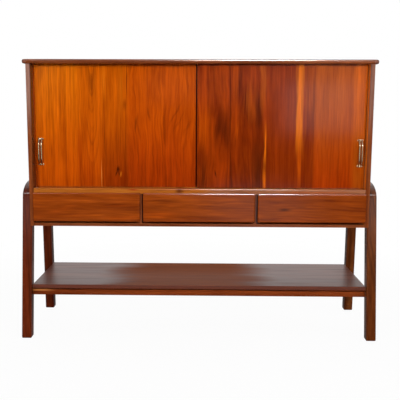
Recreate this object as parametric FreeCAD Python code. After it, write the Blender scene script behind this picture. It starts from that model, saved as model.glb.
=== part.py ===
import FreeCAD, Part
import math
import os

# Highboard: a case with two sliding doors over three drawers, hung between two raked leg frames
# that also carry an open shelf. Millimetres, X along the width, front at minus Y, Z up from the floor.

os.makedirs("parts", exist_ok=True)

# Case
CASE_WIDTH = 1330.0
CASE_DEPTH = 392.0
CASE_FORWARD = 4.0
CASE_FLOOR_CLEARANCE = 451.0
SIDE_THICKNESS = 18.0
BOTTOM_THICKNESS = 12.0
DRAWER_OPENING_HEIGHT = 118.0
FLOOR_THICKNESS = 20.0
DOOR_OPENING_HEIGHT = 478.0
DIVIDER_THICKNESS = 18.0
MIDDLE_OPENING_WIDTH = 430.0
PARTITION_THICKNESS = 18.0
PARTITION_SETBACK = 82.0
HOUSING_DEPTH = 6.0
HOUSING_STOP = 12.0
BOARD_EDGE_RADIUS = 5.0
SIDE_EDGE_RADIUS = 2.0
BACK_THICKNESS = 6.0
BACK_REBATE_WIDTH = 9.0
BACK_CLEARANCE = 0.3

# Top board
TOP_THICKNESS = 16.0
TOP_SIDE_OVERHANG = 15.0
TOP_FRONT_OVERHANG = 10.0
TOP_REAR_OVERHANG = 3.0
TOP_EDGE_RADIUS = 6.0
TOP_FRONT_CORNER_RADIUS = 22.0
TOP_REAR_CORNER_RADIUS = 9.0

# Sliding doors
DOOR_THICKNESS = 18.0
FRONT_DOOR_SETBACK = 34.0
DOOR_SPACING = 24.0
DOOR_OVERLAP = 13.0
DOOR_SIDE_CLEARANCE = 0.5
DOOR_BOTTOM_GAP = 2.0
DOOR_TOP_GAP = 5.5
DOOR_TONGUE_THICKNESS = 8.0
DOOR_GROOVE_WIDTH = 9.0
LOWER_GROOVE_DEPTH = 5.0
UPPER_GROOVE_DEPTH = 10.0
UPPER_TONGUE_REACH = 4.0
RUNNING_GAP = 0.3
DOOR_EDGE_RADIUS = 2.0

# Door handles
HANDLE_EDGE_DISTANCE = 20.0
HANDLE_HEIGHT = 139.0
HANDLE_SPAN = 100.0
HANDLE_PROJECTION = 22.0
HANDLE_SLOPE_RISE = 19.0
HANDLE_STUB = 4.0
HANDLE_ROD_DIAMETER = 6.0
HANDLE_ROD_SPACING = 10.5
HANDLE_BEND_RADIUS = 6.0
PLATE_WIDTH = 23.0
PLATE_HEIGHT = 8.0
PLATE_THICKNESS = 3.0
PLATE_EDGE_RADIUS = 0.8
HANDLE_SCREW_DIAMETER = 3.5
HANDLE_SCREW_HEAD = 7.0
HANDLE_SCREW_BITE = 2.0

# Drawers
DRAWER_LIP = 3.0
LIP_THICKNESS = 12.0
LIP_GAP = 0.3
LIP_EDGE_RADIUS = 4.0
INSET_THICKNESS = 10.0
INSET_TOP_CLEARANCE = 2.0
FINGER_GAP = 8.0
DRAWER_SIDE_CLEARANCE = 1.0
DRAWER_WALL = 12.0
DRAWER_WALL_DROP = 10.0
DRAWER_REAR_CLEARANCE = 8.0
DRAWER_BACK_INSET = 8.0
DRAWER_BOTTOM_THICKNESS = 5.0
DRAWER_BOTTOM_RISE = 3.5
DRAWER_GROOVE_DEPTH = 4.0
DRAWER_GROOVE_CLEARANCE = 0.1
TAIL_COUNT = 3
TAIL_BASE = 17.0
TAIL_SLOPE = 6.0
GLIDE_THICKNESS = 3.0
GLIDE_WIDTH = 14.0
GLIDE_SETBACK = 20.0

# Shelves behind the doors
INNER_SHELF_THICKNESS = 16.0
INNER_SHELF_RISE = 230.0
INNER_SHELF_SETBACK = 88.0
INNER_SHELF_CLEARANCE = 1.0
PEG_DIAMETER = 6.0
PEG_LENGTH = 20.0
PEG_INSET = 50.0

# Leg frames
LEG_FACE_SETBACK = 8.0
LEG_WIDTH = 38.0
LEG_DEPTH = 43.0
LEG_NOTCH = 4.5
LEG_RAKE = 5.4
LEG_SPLAY = 0.8
LEG_EDGE_RADIUS = 4.0
FOOT_RADIUS = 6.0
FRAME_TOP = 620.0
FRAME_RAIL_HEIGHT = 60.0
FRAME_HEAD_LENGTH = 112.0
SHOULDER_DEPTH = 100.0
SHOULDER_HEIGHT = 52.0
ARMPIT_RADIUS = 40.0

# Open shelf
SHELF_TOP = 212.0
SHELF_THICKNESS = 16.0
SHELF_FRONT_SETBACK = 19.6
SHELF_REAR_SETBACK = 4.6
SHELF_EDGE_RADIUS = 4.0
SHELF_RAIL_HEIGHT = 28.0
SHELF_RAIL_THICKNESS = 18.0
SHELF_RAIL_SETBACK = 6.0
SHELF_RAIL_EDGE_RADIUS = 3.0

# Fasteners
DOWEL_DIAMETER = 8.0
DOWEL_LENGTH = 24.0
FRAME_DOWEL_DIAMETER = 10.0
FRAME_DOWEL_LENGTH = 50.0
FIT_CLEARANCE = 0.1
TOP_DOWEL_DEPTH = 9.0
FLOOR_DOWEL_DEPTH = 7.0
DOWEL_EDGE_DISTANCE = 45.0
FRAME_SCREW_DIAMETER = 5.0
FRAME_SCREW_HEAD = 9.6
FRAME_SCREW_LENGTH = 40.0
FRAME_SCREW_RISE = 35.0
FRAME_SCREW_RAIL_RISE = 12.0
FRAME_SCREW_JOINT_DISTANCE = 19.0
SHELF_SCREW_DIAMETER = 4.0
SHELF_SCREW_HEAD = 8.0
SHELF_SCREW_BITE = 10.0
SHELF_SCREW_COUNT = 4
BACK_SCREW_DIAMETER = 3.0
BACK_SCREW_HEAD = 6.0
BACK_SCREW_LENGTH = 18.0
BACK_SCREW_COLUMNS = 5

# Levels and faces that follow from the sizes above
CASE_HALF = CASE_WIDTH / 2
INNER_HALF = CASE_HALF - SIDE_THICKNESS
CASE_FRONT = -CASE_DEPTH / 2 - CASE_FORWARD
CASE_BACK = CASE_FRONT + CASE_DEPTH
CASE_MIDDLE = (CASE_FRONT + CASE_BACK) / 2
BOARD_BACK = CASE_BACK - BACK_THICKNESS
BOTTOM_TOP = CASE_FLOOR_CLEARANCE + BOTTOM_THICKNESS
DRAWER_CEILING = BOTTOM_TOP + DRAWER_OPENING_HEIGHT
FLOOR_TOP = DRAWER_CEILING + FLOOR_THICKNESS
TOP_UNDERSIDE = FLOOR_TOP + DOOR_OPENING_HEIGHT
TOP_SURFACE = TOP_UNDERSIDE + TOP_THICKNESS
DIVIDER_CENTRE = MIDDLE_OPENING_WIDTH / 2 + DIVIDER_THICKNESS / 2
SHELF_UNDERSIDE = SHELF_TOP - SHELF_THICKNESS
RAIL_UNDERSIDE = SHELF_UNDERSIDE - SHELF_RAIL_HEIGHT
RAKE_SLOPE = math.tan(math.radians(LEG_RAKE))
SPLAY_SLOPE = math.tan(math.radians(LEG_SPLAY))
INNER_SHELF_TOP = FLOOR_TOP + INNER_SHELF_RISE + INNER_SHELF_THICKNESS

TOLERANCE = 1e-4
X_AXIS = FreeCAD.Vector(1, 0, 0)
Y_AXIS = FreeCAD.Vector(0, 1, 0)
Z_AXIS = FreeCAD.Vector(0, 0, 1)
ORIGIN = FreeCAD.Vector(0, 0, 0)


# Helpers


def block(x0, x1, y0, y1, z0, z1):
    return Part.makeBox(x1 - x0, y1 - y0, z1 - z0, FreeCAD.Vector(x0, y0, z0))


def prism_along_x(points, x0, x1):
    corners = [FreeCAD.Vector(x0, y, z) for y, z in points]
    return Part.Face(Part.makePolygon(corners + corners[:1])).extrude(X_AXIS * (x1 - x0))


def prism_along_y(points, y0, y1):
    corners = [FreeCAD.Vector(x, y0, z) for x, z in points]
    return Part.Face(Part.makePolygon(corners + corners[:1])).extrude(Y_AXIS * (y1 - y0))


def prism_along_z(points, z0, z1):
    corners = [FreeCAD.Vector(x, y, z0) for x, y in points]
    return Part.Face(Part.makePolygon(corners + corners[:1])).extrude(Z_AXIS * (z1 - z0))


def edges_at(shape, x=None, y=None, z=None):
    """Edges that lie wholly at the given coordinates."""
    found = []
    for edge in shape.Edges:
        box = edge.BoundBox
        spans = ((box.XMin, box.XMax, x), (box.YMin, box.YMax, y), (box.ZMin, box.ZMax, z))
        wanted = [span for span in spans if span[2] is not None]
        if all(abs(low - at) < TOLERANCE and abs(high - at) < TOLERANCE for low, high, at in wanted):
            found.append(edge)
    return found


def mirrored_x(shape):
    return shape.mirror(ORIGIN, X_AXIS)


def mirrored_y(shape):
    return shape.mirror(ORIGIN, Y_AXIS)


def rounded_outline(corners):
    """Closed wire in the YZ plane. Each corner is (y, z, back, ahead, round_arc): how far the curve
    at that corner starts before it and ends after it. A round_arc corner is a circle's arc, others
    are elliptical."""
    points = [FreeCAD.Vector(0, y, z) for y, z, _, _, _ in corners]
    edges = []
    starts = []
    ends = []
    for index, (_, _, back, ahead, _) in enumerate(corners):
        here = points[index]
        before = (points[index - 1] - here).normalize()
        after = (points[(index + 1) % len(points)] - here).normalize()
        starts.append(here + before * back)
        ends.append(here + after * ahead)
    handle_share = 4 * (math.sqrt(2) - 1) / 3
    for index, (_, _, back, ahead, round_arc) in enumerate(corners):
        here = points[index]
        if back > 0 and round_arc:
            toward = (starts[index] + ends[index]) * 0.5 - here
            half_turn = math.acos((starts[index] - here).normalize().dot(toward.normalize()))
            radius = back * math.tan(half_turn)
            reach = radius / math.sin(half_turn) - radius
            middle = here + toward.normalize() * reach
            edges.append(Part.Arc(starts[index], middle, ends[index]).toShape())
        elif back > 0:
            curve = Part.BezierCurve()
            first = starts[index] + (here - starts[index]) * handle_share
            second = ends[index] + (here - ends[index]) * handle_share
            curve.setPoles([starts[index], first, second, ends[index]])
            edges.append(curve.toShape())
        following = starts[(index + 1) % len(points)]
        if (following - ends[index]).Length > TOLERANCE:
            edges.append(Part.makeLine(ends[index], following))
    return Part.Wire(edges)


def tangent_length(radius, before, corner, after):
    """Length from a corner to where an arc of this radius touches its sides."""
    one = FreeCAD.Vector(0, before[0] - corner[0], before[1] - corner[1]).normalize()
    two = FreeCAD.Vector(0, after[0] - corner[0], after[1] - corner[1]).normalize()
    return radius / math.tan(math.acos(one.dot(two)) / 2)


def dowel(middle, axis, diameter, length, clearance=0.0):
    """Wooden dowel centred on a point. With a clearance it is the hole for one."""
    start = middle - axis * (length / 2 + clearance)
    return Part.makeCylinder(diameter / 2 + clearance, length + 2 * clearance, start, axis)


def screw(head_centre, axis, diameter, head_diameter, length, clearance=0.0):
    """Countersunk screw, head flush at head_centre. With a clearance it is the hole for one."""
    radius = diameter / 2 + clearance
    head_radius = head_diameter / 2 + clearance
    head = Part.makeCone(head_radius, radius, head_radius - radius, head_centre, axis)
    shank = Part.makeCylinder(radius, length + clearance, head_centre, axis)
    return shank.fuse(head).removeSplitter()


def cut_all(shape, tools):
    return shape.cut(Part.makeCompound(tools)) if tools else shape


def export(name, shape):
    shape.exportStep(f"parts/{name}.step")


# Case joinery: dowel places shared by both pieces of a joint


def spread(first, last, count):
    step = (last - first) / (count - 1)
    return [first + step * index for index in range(count)]


def upright_dowel(x, y, z, clearance):
    return dowel(FreeCAD.Vector(x, y, z), Z_AXIS, DOWEL_DIAMETER, DOWEL_LENGTH, clearance)


def top_dowels(clearance=0.0):
    """Dowels that stand in the side panels and the partition and enter the top board."""
    rows = [CASE_FRONT + DOWEL_EDGE_DISTANCE, CASE_MIDDLE, BOARD_BACK - DOWEL_EDGE_DISTANCE]
    side = CASE_HALF - SIDE_THICKNESS / 2
    places = [(x, y) for x in (-side, side) for y in rows]
    places += [(0, y) for y in rows[1:]]
    level = TOP_UNDERSIDE + TOP_DOWEL_DEPTH - DOWEL_LENGTH / 2
    return [upright_dowel(x, y, level, clearance) for x, y in places]


def floor_dowels(clearance=0.0):
    """Dowels from the dividers up into the door floor and down into the case bottom."""
    rows = [CASE_FRONT + DOWEL_EDGE_DISTANCE, BOARD_BACK - DOWEL_EDGE_DISTANCE]
    levels = [
        DRAWER_CEILING + FLOOR_DOWEL_DEPTH - DOWEL_LENGTH / 2,
        BOTTOM_TOP - FLOOR_DOWEL_DEPTH + DOWEL_LENGTH / 2,
    ]
    places = [(x, y, z) for x in (-DIVIDER_CENTRE, DIVIDER_CENTRE) for y in rows for z in levels]
    return [upright_dowel(x, y, z, clearance) for x, y, z in places]


def partition_dowels(clearance=0.0):
    """Dowels from the door floor up into the centre partition."""
    rows = [CASE_MIDDLE, BOARD_BACK - DOWEL_EDGE_DISTANCE]
    level = FLOOR_TOP - FLOOR_DOWEL_DEPTH + DOWEL_LENGTH / 2
    return [upright_dowel(0, y, level, clearance) for y in rows]


def frame_screw_places():
    """Y and Z of the screws through a side panel into its leg frame."""
    low = CASE_FLOOR_CLEARANCE + FRAME_SCREW_RISE
    high = FRAME_TOP - FRAME_RAIL_HEIGHT + FRAME_SCREW_RAIL_RISE
    leg_low = leg_face_y(low) + LEG_DEPTH / 2
    leg_high = leg_face_y(high) + LEG_DEPTH / 2
    rail = frame_joint_y() + FRAME_SCREW_JOINT_DISTANCE
    front = [(leg_low, low), (leg_high, high), (rail, high)]
    return front + [(-y, z) for y, z in front]


def frame_screws(clearance=0.0):
    screws = []
    for y, z in frame_screw_places():
        place = FreeCAD.Vector(INNER_HALF, y, z)
        screws.append(
            screw(place, X_AXIS, FRAME_SCREW_DIAMETER, FRAME_SCREW_HEAD, FRAME_SCREW_LENGTH, clearance)
        )
    return screws


def back_screws(clearance=0.0):
    """Screws that hold the back panel to the rear edges of the bottom and the door floor."""
    levels = [CASE_FLOOR_CLEARANCE + BOTTOM_THICKNESS / 2, DRAWER_CEILING + FLOOR_THICKNESS / 2]
    reach = INNER_HALF - DOWEL_EDGE_DISTANCE
    inward = Y_AXIS * -1
    screws = []
    for z in levels:
        for x in spread(-reach, reach, BACK_SCREW_COLUMNS):
            place = FreeCAD.Vector(x, CASE_BACK, z)
            screws.append(
                screw(place, inward, BACK_SCREW_DIAMETER, BACK_SCREW_HEAD, BACK_SCREW_LENGTH, clearance)
            )
    return screws


# Case boards


def door_groove(setback, z0, z1):
    middle = CASE_FRONT + setback + DOOR_THICKNESS / 2
    half = DOOR_GROOVE_WIDTH / 2
    return block(-INNER_HALF, INNER_HALF, middle - half, middle + half, z0, z1)


def door_setbacks():
    return [FRONT_DOOR_SETBACK, FRONT_DOOR_SETBACK + DOOR_SPACING]


def top_board():
    half = CASE_HALF + TOP_SIDE_OVERHANG
    front = CASE_FRONT - TOP_FRONT_OVERHANG
    rear = CASE_BACK + TOP_REAR_OVERHANG
    board = block(-half, half, front, rear, TOP_UNDERSIDE, TOP_SURFACE)
    front_corners = edges_at(board, x=-half, y=front) + edges_at(board, x=half, y=front)
    board = board.makeFillet(TOP_FRONT_CORNER_RADIUS, front_corners)
    rear_corners = edges_at(board, x=-half, y=rear) + edges_at(board, x=half, y=rear)
    board = board.makeFillet(TOP_REAR_CORNER_RADIUS, rear_corners)
    rims = edges_at(board, z=TOP_SURFACE) + edges_at(board, z=TOP_UNDERSIDE)
    board = board.makeFillet(TOP_EDGE_RADIUS, rims)
    grooves = [door_groove(s, TOP_UNDERSIDE, TOP_UNDERSIDE + UPPER_GROOVE_DEPTH) for s in door_setbacks()]
    return cut_all(board, grooves + top_dowels(FIT_CLEARANCE))


def housed_board(z0, z1):
    """Board between the side panels, its ends held in stopped housings."""
    end = INNER_HALF + HOUSING_DEPTH
    stop = CASE_FRONT + HOUSING_STOP
    right = [(INNER_HALF, CASE_FRONT), (INNER_HALF, stop), (end, stop), (end, BOARD_BACK)]
    left = [(-x, y) for x, y in reversed(right)]
    return prism_along_z(right + left, z0, z1)


def door_floor():
    board = housed_board(DRAWER_CEILING, FLOOR_TOP)
    board = board.makeFillet(BOARD_EDGE_RADIUS, edges_at(board, y=CASE_FRONT, z=FLOOR_TOP))
    grooves = [door_groove(s, FLOOR_TOP - LOWER_GROOVE_DEPTH, FLOOR_TOP) for s in door_setbacks()]
    holes = floor_dowels(FIT_CLEARANCE) + partition_dowels(FIT_CLEARANCE) + back_screws(FIT_CLEARANCE)
    return cut_all(board, grooves + holes)


def case_bottom():
    board = housed_board(CASE_FLOOR_CLEARANCE, BOTTOM_TOP)
    return cut_all(board, floor_dowels(FIT_CLEARANCE) + back_screws(FIT_CLEARANCE))


def side_panel_right():
    panel = block(INNER_HALF, CASE_HALF, CASE_FRONT, CASE_BACK, CASE_FLOOR_CLEARANCE, TOP_UNDERSIDE)
    front_edges = edges_at(panel, x=CASE_HALF, y=CASE_FRONT)
    panel = panel.makeFillet(SIDE_EDGE_RADIUS, front_edges)
    stop = CASE_FRONT + HOUSING_STOP
    depth = INNER_HALF + HOUSING_DEPTH
    rebate = INNER_HALF + BACK_REBATE_WIDTH
    tools = [
        block(INNER_HALF, depth, stop, BOARD_BACK, CASE_FLOOR_CLEARANCE, BOTTOM_TOP),
        block(INNER_HALF, depth, stop, BOARD_BACK, DRAWER_CEILING, FLOOR_TOP),
        block(INNER_HALF, rebate, BOARD_BACK, CASE_BACK, CASE_FLOOR_CLEARANCE, TOP_UNDERSIDE),
    ]
    pegs = [peg for peg in shelf_pegs(FIT_CLEARANCE) if peg.BoundBox.XMax > INNER_HALF]
    return cut_all(panel, tools + top_dowels(FIT_CLEARANCE) + frame_screws(FIT_CLEARANCE) + pegs)


def drawer_divider_right():
    half = DIVIDER_THICKNESS / 2
    board = block(
        DIVIDER_CENTRE - half, DIVIDER_CENTRE + half, CASE_FRONT, BOARD_BACK, BOTTOM_TOP, DRAWER_CEILING
    )
    return cut_all(board, floor_dowels(FIT_CLEARANCE))


def centre_partition():
    half = PARTITION_THICKNESS / 2
    board = block(-half, half, CASE_FRONT + PARTITION_SETBACK, BOARD_BACK, FLOOR_TOP, TOP_UNDERSIDE)
    pegs = [peg for peg in shelf_pegs(FIT_CLEARANCE) if abs(peg.BoundBox.Center.x) < INNER_HALF / 2]
    return cut_all(board, top_dowels(FIT_CLEARANCE) + partition_dowels(FIT_CLEARANCE) + pegs)


def back_panel():
    half = INNER_HALF + BACK_REBATE_WIDTH - BACK_CLEARANCE
    panel = block(-half, half, BOARD_BACK, CASE_BACK, CASE_FLOOR_CLEARANCE, TOP_UNDERSIDE)
    return cut_all(panel, back_screws(FIT_CLEARANCE))


def inner_shelf_right():
    x0 = PARTITION_THICKNESS / 2 + INNER_SHELF_CLEARANCE
    x1 = INNER_HALF - INNER_SHELF_CLEARANCE
    low = INNER_SHELF_TOP - INNER_SHELF_THICKNESS
    front = CASE_FRONT + INNER_SHELF_SETBACK
    board = block(x0, x1, front, BOARD_BACK - INNER_SHELF_CLEARANCE, low, INNER_SHELF_TOP)
    rims = edges_at(board, y=front, z=INNER_SHELF_TOP) + edges_at(board, y=front, z=low)
    return board.makeFillet(SIDE_EDGE_RADIUS, rims)


def shelf_pegs(clearance=0.0):
    """Pegs under both inner shelves, half of each in the panel beside it."""
    level = INNER_SHELF_TOP - INNER_SHELF_THICKNESS - PEG_DIAMETER / 2
    rows = [CASE_FRONT + INNER_SHELF_SETBACK + PEG_INSET, BOARD_BACK - PEG_INSET]
    walls = [-INNER_HALF, -PARTITION_THICKNESS / 2, PARTITION_THICKNESS / 2, INNER_HALF]
    pegs = []
    for wall in walls:
        buried = min(PEG_LENGTH / 2, PARTITION_THICKNESS / 2 - 2 * FIT_CLEARANCE)
        into_room = -1 if wall in (walls[1], walls[3]) else 1
        middle = wall + into_room * (PEG_LENGTH / 2 - buried)
        for y in rows:
            place = FreeCAD.Vector(middle, y, level)
            pegs.append(dowel(place, X_AXIS, PEG_DIAMETER, PEG_LENGTH, clearance))
    return pegs


# Leg frames, made for the right side and mirrored


def leg_face_y(z):
    """Front face of a front leg at a height."""
    return CASE_FRONT + LEG_FACE_SETBACK - RAKE_SLOPE * (CASE_FLOOR_CLEARANCE - z)


def leg_outer_x(z):
    return CASE_HALF + LEG_WIDTH - LEG_NOTCH + SPLAY_SLOPE * (CASE_FLOOR_CLEARANCE - z)


def leg_inner_x(z):
    return leg_outer_x(z) - LEG_WIDTH


def frame_slab():
    """The splayed thickness of a leg frame, notched where the case stands on it."""
    outline = [
        (leg_inner_x(0), 0),
        (leg_outer_x(0), 0),
        (leg_outer_x(FRAME_TOP), FRAME_TOP),
        (CASE_HALF, FRAME_TOP),
        (CASE_HALF, CASE_FLOOR_CLEARANCE),
        (leg_inner_x(CASE_FLOOR_CLEARANCE), CASE_FLOOR_CLEARANCE),
    ]
    return prism_along_y(outline, -CASE_DEPTH, CASE_DEPTH)


def frame_joint_y():
    """Where the head of the front leg meets the frame rail."""
    return leg_face_y(FRAME_TOP) + FRAME_HEAD_LENGTH


def frame_dowels(clearance=0.0):
    levels = [FRAME_TOP - FRAME_RAIL_HEIGHT * share for share in (1 / 3, 2 / 3)]
    x = (CASE_HALF + leg_outer_x(FRAME_TOP)) / 2
    dowels = []
    for y in (frame_joint_y(), -frame_joint_y()):
        for z in levels:
            place = FreeCAD.Vector(x, y, z)
            dowels.append(dowel(place, Y_AXIS, FRAME_DOWEL_DIAMETER, FRAME_DOWEL_LENGTH, clearance))
    return dowels


def shelf_front_y():
    return leg_face_y(SHELF_TOP) + SHELF_FRONT_SETBACK


def shelf_rear_y():
    return -leg_face_y(SHELF_TOP) - SHELF_REAR_SETBACK


def shelf_rail_y():
    """Front face of the front shelf rail. The rear rail is its mirror image."""
    return shelf_front_y() + SHELF_RAIL_SETBACK


def rail_dowels(clearance=0.0):
    """Dowels between the shelf rails and the right-hand legs."""
    y = shelf_rail_y() + SHELF_RAIL_THICKNESS / 2
    dowels = []
    for side in (-1, 1):
        for share in (1 / 4, 3 / 4):
            z = RAIL_UNDERSIDE + SHELF_RAIL_HEIGHT * share
            place = FreeCAD.Vector(leg_inner_x(z), side * y, z)
            dowels.append(dowel(place, X_AXIS, DOWEL_DIAMETER, DOWEL_LENGTH, clearance))
    return dowels


def leg_outline():
    """Side view of the front leg: foot, raked faces, rounded shoulder and the head that meets the rail."""
    under = FRAME_TOP - FRAME_RAIL_HEIGHT
    foot_front = (leg_face_y(0), 0)
    foot_rear = (leg_face_y(0) + LEG_DEPTH, 0)
    armpit = (leg_face_y(under) + LEG_DEPTH, under)
    head_low = (frame_joint_y(), under)
    head_high = (frame_joint_y(), FRAME_TOP)
    shoulder = (leg_face_y(FRAME_TOP), FRAME_TOP)
    front_round = tangent_length(FOOT_RADIUS, shoulder, foot_front, foot_rear)
    rear_round = tangent_length(FOOT_RADIUS, foot_front, foot_rear, armpit)
    armpit_round = tangent_length(ARMPIT_RADIUS, foot_rear, armpit, head_low)
    return rounded_outline(
        [
            (*foot_front, front_round, front_round, True),
            (*foot_rear, rear_round, rear_round, True),
            (*armpit, armpit_round, armpit_round, True),
            (*head_low, 0, 0, True),
            (*head_high, 0, 0, True),
            (*shoulder, SHOULDER_DEPTH, SHOULDER_HEIGHT, False),
        ]
    )


def rounded_frame_edges(piece):
    """Rounds the long edges of the outer face, and of the inner face below the case."""
    chosen = []
    for edge in piece.Edges:
        ends = [vertex.Point for vertex in edge.Vertexes]
        outer = all(abs(p.x - leg_outer_x(p.z)) < TOLERANCE for p in ends)
        inner = all(abs(p.x - leg_inner_x(p.z)) < TOLERANCE for p in ends)
        at_joint = all(abs(p.y - ends[0].y) < TOLERANCE for p in ends) and (
            abs(abs(ends[0].y) - abs(frame_joint_y())) < TOLERANCE
        )
        on_ledge = all(abs(p.z - CASE_FLOOR_CLEARANCE) < TOLERANCE for p in ends)
        if (outer or inner) and not at_joint and not on_ledge:
            chosen.append(edge)
    return piece.makeFillet(LEG_EDGE_RADIUS, chosen)


def front_leg_right():
    start = leg_inner_x(CASE_FLOOR_CLEARANCE) - LEG_WIDTH
    outline = leg_outline()
    outline.translate(X_AXIS * start)
    plank = Part.Face(outline).extrude(X_AXIS * (3 * LEG_WIDTH))
    leg = rounded_frame_edges(plank.common(frame_slab()))
    holes = frame_dowels(FIT_CLEARANCE) + rail_dowels(FIT_CLEARANCE) + frame_screws(FIT_CLEARANCE)
    return cut_all(leg, holes)


def frame_rail_right():
    under = FRAME_TOP - FRAME_RAIL_HEIGHT
    joint = frame_joint_y()
    bar = block(CASE_HALF, CASE_HALF + 2 * LEG_WIDTH, joint, -joint, under, FRAME_TOP)
    rail = rounded_frame_edges(bar.common(frame_slab()))
    return cut_all(rail, frame_dowels(FIT_CLEARANCE) + frame_screws(FIT_CLEARANCE))


# Open shelf between the leg frames


def between_legs(z0, z1, y0, y1):
    """Bar whose ends follow the splayed inner faces of the legs."""
    outline = [(-leg_inner_x(z0), z0), (leg_inner_x(z0), z0), (leg_inner_x(z1), z1), (-leg_inner_x(z1), z1)]
    return prism_along_y(outline, y0, y1)


def shelf_screws(clearance=0.0):
    """Screws up through the rails into the shelf."""
    reach = leg_inner_x(SHELF_TOP) - 2 * DOWEL_EDGE_DISTANCE
    y = shelf_rail_y() + SHELF_RAIL_THICKNESS / 2
    length = SHELF_RAIL_HEIGHT + SHELF_SCREW_BITE
    screws = []
    for x in spread(-reach, reach, SHELF_SCREW_COUNT):
        for side in (-1, 1):
            place = FreeCAD.Vector(x, side * y, RAIL_UNDERSIDE)
            screws.append(screw(place, Z_AXIS, SHELF_SCREW_DIAMETER, SHELF_SCREW_HEAD, length, clearance))
    return screws


def lower_shelf():
    board = between_legs(SHELF_UNDERSIDE, SHELF_TOP, shelf_front_y(), shelf_rear_y())
    rims = []
    for y in (shelf_front_y(), shelf_rear_y()):
        rims += edges_at(board, y=y, z=SHELF_TOP) + edges_at(board, y=y, z=SHELF_UNDERSIDE)
    return cut_all(board.makeFillet(SHELF_EDGE_RADIUS, rims), shelf_screws(FIT_CLEARANCE))


def shelf_front_rail():
    front = shelf_rail_y()
    back = front + SHELF_RAIL_THICKNESS
    bar = between_legs(RAIL_UNDERSIDE, SHELF_UNDERSIDE, front, back)
    low = edges_at(bar, y=front, z=RAIL_UNDERSIDE) + edges_at(bar, y=back, z=RAIL_UNDERSIDE)
    bar = bar.makeFillet(SHELF_RAIL_EDGE_RADIUS, low)
    right = rail_dowels(FIT_CLEARANCE)
    return cut_all(bar, right + [mirrored_x(hole) for hole in right] + shelf_screws(FIT_CLEARANCE))


# Sliding doors and their handles


def door_panel(x0, x1, setback):
    """Door with a tongue along its upper and lower edge."""
    face = CASE_FRONT + setback
    rear = face + DOOR_THICKNESS
    tongue_front = face + (DOOR_THICKNESS - DOOR_TONGUE_THICKNESS) / 2
    tongue_rear = tongue_front + DOOR_TONGUE_THICKNESS
    foot = FLOOR_TOP - LOWER_GROOVE_DEPTH + RUNNING_GAP
    low = FLOOR_TOP + DOOR_BOTTOM_GAP
    high = TOP_UNDERSIDE - DOOR_TOP_GAP
    crown = TOP_UNDERSIDE + UPPER_TONGUE_REACH
    outline = [
        (face, low), (tongue_front, low), (tongue_front, foot), (tongue_rear, foot),
        (tongue_rear, low), (rear, low), (rear, high), (tongue_rear, high),
        (tongue_rear, crown), (tongue_front, crown), (tongue_front, high), (face, high),
    ]
    door = prism_along_x(outline, x0, x1)
    return door.makeFillet(DOOR_EDGE_RADIUS, edges_at(door, x=x0, y=face) + edges_at(door, x=x1, y=face))


def handle_points(x):
    """Where the two rods of a handle stand, as X and Z, lower pair first."""
    middle = FLOOR_TOP + HANDLE_HEIGHT
    columns = [x - HANDLE_ROD_SPACING / 2, x + HANDLE_ROD_SPACING / 2]
    return [(column, middle + side * HANDLE_SPAN / 2) for side in (-1, 1) for column in columns]


def bent_path(corners, radius):
    """Open wire through the corners, with an arc of this radius at each one between its ends."""
    edges = []
    reached = corners[0]
    for before, corner, after in zip(corners, corners[1:], corners[2:]):
        back = (before - corner).normalize()
        ahead = (after - corner).normalize()
        half_angle = math.acos(back.dot(ahead)) / 2
        tangent = radius / math.tan(half_angle)
        bisector = (back + ahead).normalize()
        middle = corner + bisector * (radius / math.sin(half_angle) - radius)
        edges.append(Part.makeLine(reached, corner + back * tangent))
        reached = corner + ahead * tangent
        edges.append(Part.Arc(corner + back * tangent, middle, reached).toShape())
    edges.append(Part.makeLine(reached, corners[-1]))
    return Part.Wire(edges)


def handle_rod(x, face):
    """Bow of round rod: out of one plate, sloping away from the door, along it and back to the other."""
    low = FLOOR_TOP + HANDLE_HEIGHT - HANDLE_SPAN / 2
    high = low + HANDLE_SPAN
    seat = face - PLATE_THICKNESS
    stub = seat - HANDLE_STUB
    out = face - HANDLE_PROJECTION + HANDLE_ROD_DIAMETER / 2
    lower_half = [(seat, low), (stub, low), (out, low + HANDLE_SLOPE_RISE)]
    upper_half = [(out, high - HANDLE_SLOPE_RISE), (stub, high), (seat, high)]
    corners = [FreeCAD.Vector(x, y, z) for y, z in lower_half + upper_half]
    section = Part.Wire([Part.makeCircle(HANDLE_ROD_DIAMETER / 2, corners[0], Y_AXIS * -1)])
    return bent_path(corners, HANDLE_BEND_RADIUS).makePipeShell([section], True, False)


def handle_plate(x, face, z):
    """Oblong plate with round ends that seats on the door."""
    reach = PLATE_WIDTH / 2 - PLATE_HEIGHT / 2
    half = PLATE_HEIGHT / 2
    left_low = FreeCAD.Vector(x - reach, face, z - half)
    right_low = FreeCAD.Vector(x + reach, face, z - half)
    right_tip = FreeCAD.Vector(x + reach + half, face, z)
    right_high = FreeCAD.Vector(x + reach, face, z + half)
    left_high = FreeCAD.Vector(x - reach, face, z + half)
    left_tip = FreeCAD.Vector(x - reach - half, face, z)
    outline = Part.Wire(
        [
            Part.makeLine(left_low, right_low),
            Part.Arc(right_low, right_tip, right_high).toShape(),
            Part.makeLine(right_high, left_high),
            Part.Arc(left_high, left_tip, left_low).toShape(),
        ]
    )
    plate = Part.Face(outline).extrude(Y_AXIS * -PLATE_THICKNESS)
    return plate.makeFillet(PLATE_EDGE_RADIUS, edges_at(plate, y=face - PLATE_THICKNESS))


def handle_screws(x, face, clearance=0.0):
    """Screws from the back of the door into the plates, behind each rod."""
    length = DOOR_THICKNESS + HANDLE_SCREW_BITE
    outward = Y_AXIS * -1
    screws = []
    for column, z in handle_points(x):
        place = FreeCAD.Vector(column, face + DOOR_THICKNESS, z)
        screws.append(screw(place, outward, HANDLE_SCREW_DIAMETER, HANDLE_SCREW_HEAD, length, clearance))
    return screws


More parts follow.
